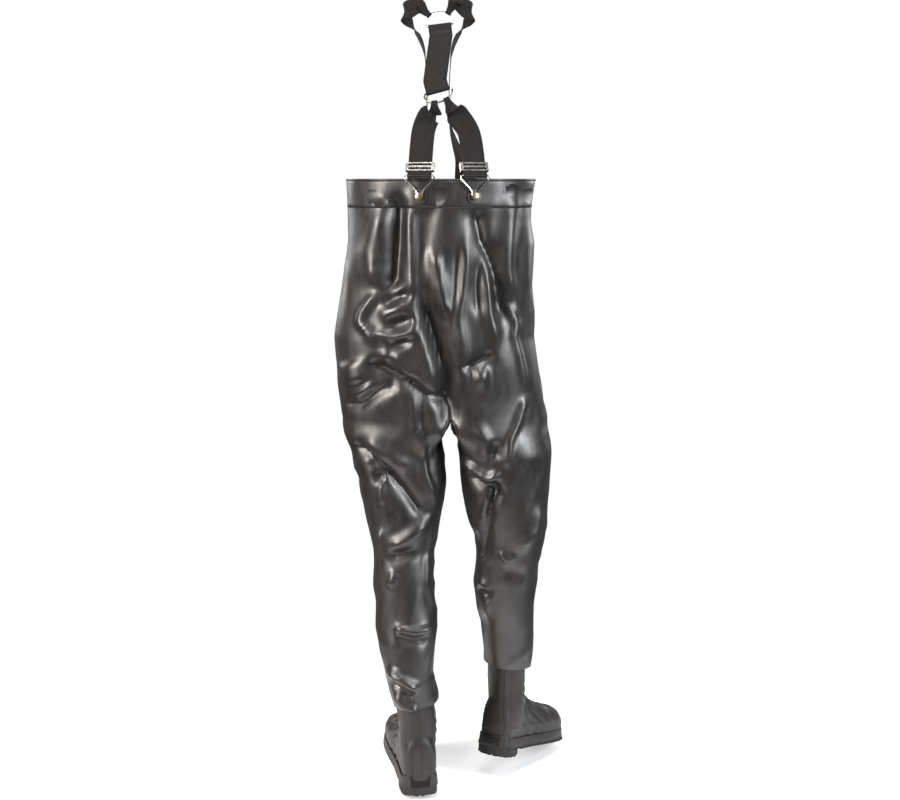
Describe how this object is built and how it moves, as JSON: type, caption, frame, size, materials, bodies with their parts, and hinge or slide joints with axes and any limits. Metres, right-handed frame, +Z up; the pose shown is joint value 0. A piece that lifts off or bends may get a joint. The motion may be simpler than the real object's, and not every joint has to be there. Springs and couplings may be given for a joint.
{
  "type": "bootfoot chest waders",
  "caption": "Waterproof rubber trousers up to the chest with boots built in, hung from a ring on elastic suspenders, with bending hips, knees and ankles.",
  "frame": {"origin": "the top of the top ring's bow, where the waders hang from a peg", "axes": "+Z up, the wearer faces -Y, and the wearer's left is +X"},
  "size_m": [0.5247, 0.4632, 1.7643],
  "materials": {
    "coated_rubber": "smooth satin rubber coating on fabric",
    "boot_rubber": "satin moulded rubber",
    "sole_rubber": "matte moulded rubber",
    "lining": "matte felt",
    "webbing": "matte woven elastic",
    "button_brass": "aged brass",
    "wire_metal": "bright nickel plating"
  },
  "bodies": {
    "hanger": {"top_ring": "wire_metal"},
    "bib": {"back_button_left": "button_brass", "back_button_right": "button_brass", "back_hook_left": "wire_metal", "back_hook_right": "wire_metal", "back_patch_left": "coated_rubber", "back_patch_right": "coated_rubber", "back_strap_left": "webbing", "back_strap_right": "webbing", "bib_back_left": "coated_rubber", "bib_back_right": "coated_rubber", "bib_front_left": "coated_rubber", "bib_front_right": "coated_rubber", "bib_seat": "coated_rubber", "bib_side_left": "coated_rubber", "bib_side_right": "coated_rubber", "centre_strap": "webbing", "front_button_left": "button_brass", "front_button_right": "button_brass", "front_hook_left": "wire_metal", "front_hook_right": "wire_metal", "front_patch_left": "coated_rubber", "front_patch_right": "coated_rubber", "left_hip_gusset": "coated_rubber", "lower_ring": "wire_metal", "right_hip_gusset": "coated_rubber", "shoulder_strap_left": "webbing", "shoulder_strap_right": "webbing", "top_band": "coated_rubber"},
    "left_thigh": {"left_thigh": "coated_rubber"},
    "left_shin": {"left_knee": "coated_rubber", "left_shin": "coated_rubber", "left_boot_shaft": "boot_rubber"},
    "left_foot": {"left_boot_ankle": "boot_rubber", "left_boot_foot": "boot_rubber", "left_outsole": "sole_rubber", "left_heel": "sole_rubber", "left_insole": "lining"},
    "back_slide_left": {"back_slide_left": "wire_metal"},
    "front_slide_left": {"front_slide_left": "wire_metal"},
    "right_thigh": {"right_thigh": "coated_rubber"},
    "right_shin": {"right_knee": "coated_rubber", "right_shin": "coated_rubber", "right_boot_shaft": "boot_rubber"},
    "right_foot": {"right_boot_ankle": "boot_rubber", "right_boot_foot": "boot_rubber", "right_outsole": "sole_rubber", "right_heel": "sole_rubber", "right_insole": "lining"},
    "back_slide_right": {"back_slide_right": "wire_metal"},
    "front_slide_right": {"front_slide_right": "wire_metal"}
  },
  "joints": [
    {"name": "hang_swing", "type": "hinge", "parent": "hanger", "child": "bib", "pos_m": [-0.004, 0, -0.032], "axis": [1, 0, 0], "range_deg": [-20, 20], "deforming": ["shoulder_strap_left", "shoulder_strap_right", "centre_strap"]},
    {"name": "left_hip", "type": "hinge", "parent": "bib", "child": "left_thigh", "pos_m": [0.088, 0.0275, -0.928], "axis": [-1, 0, 0], "range_deg": [-15, 50], "deforming": ["left_hip_gusset"]},
    {"name": "left_knee", "type": "hinge", "parent": "left_thigh", "child": "left_shin", "pos_m": [0.078, 0.028, -1.228], "axis": [1, 0, 0], "range_deg": [0, 60], "deforming": ["left_knee"]},
    {"name": "left_ankle", "type": "hinge", "parent": "left_shin", "child": "left_foot", "pos_m": [0.048, 0.077, -1.598], "axis": [0.9877, 0.1564, 0], "range_deg": [-12, 15], "stiffness_Nm_per_rad": 20, "springref_deg": -1.36, "deforming": ["left_boot_ankle"]},
    {"name": "right_hip", "type": "hinge", "parent": "bib", "child": "right_thigh", "pos_m": [-0.14, -0.0612, -0.928], "axis": [-1, 0, 0], "range_deg": [-15, 50], "deforming": ["right_hip_gusset"]},
    {"name": "right_knee", "type": "hinge", "parent": "right_thigh", "child": "right_shin", "pos_m": [-0.155, -0.0768, -1.228], "axis": [1, 0, 0], "range_deg": [0, 60], "deforming": ["right_knee"]},
    {"name": "right_ankle", "type": "hinge", "parent": "right_shin", "child": "right_foot", "pos_m": [-0.158, -0.063, -1.566], "axis": [0.8572, -0.515, 0], "range_deg": [-12, 15], "stiffness_Nm_per_rad": 20, "springref_deg": -1.03, "deforming": ["right_boot_ankle"]},
    {"name": "back_adjuster_left", "type": "slide", "parent": "bib", "child": "back_slide_left", "axis": [-0.0744, -0.4125, 0.9079], "range_m": [0, 0.06], "deforming": ["back_strap_left"]},
    {"name": "back_adjuster_right", "type": "slide", "parent": "bib", "child": "back_slide_right", "axis": [0.1251, -0.433, 0.8927], "range_m": [0, 0.06], "deforming": ["back_strap_right"]},
    {"name": "front_adjuster_left", "type": "slide", "parent": "bib", "child": "front_slide_left", "axis": [-0.0419, 0.1869, 0.9815], "range_m": [0, 0.02]},
    {"name": "front_adjuster_right", "type": "slide", "parent": "bib", "child": "front_slide_right", "axis": [0.0419, 0.1869, 0.9815], "range_m": [0, 0.02]}
  ]
}
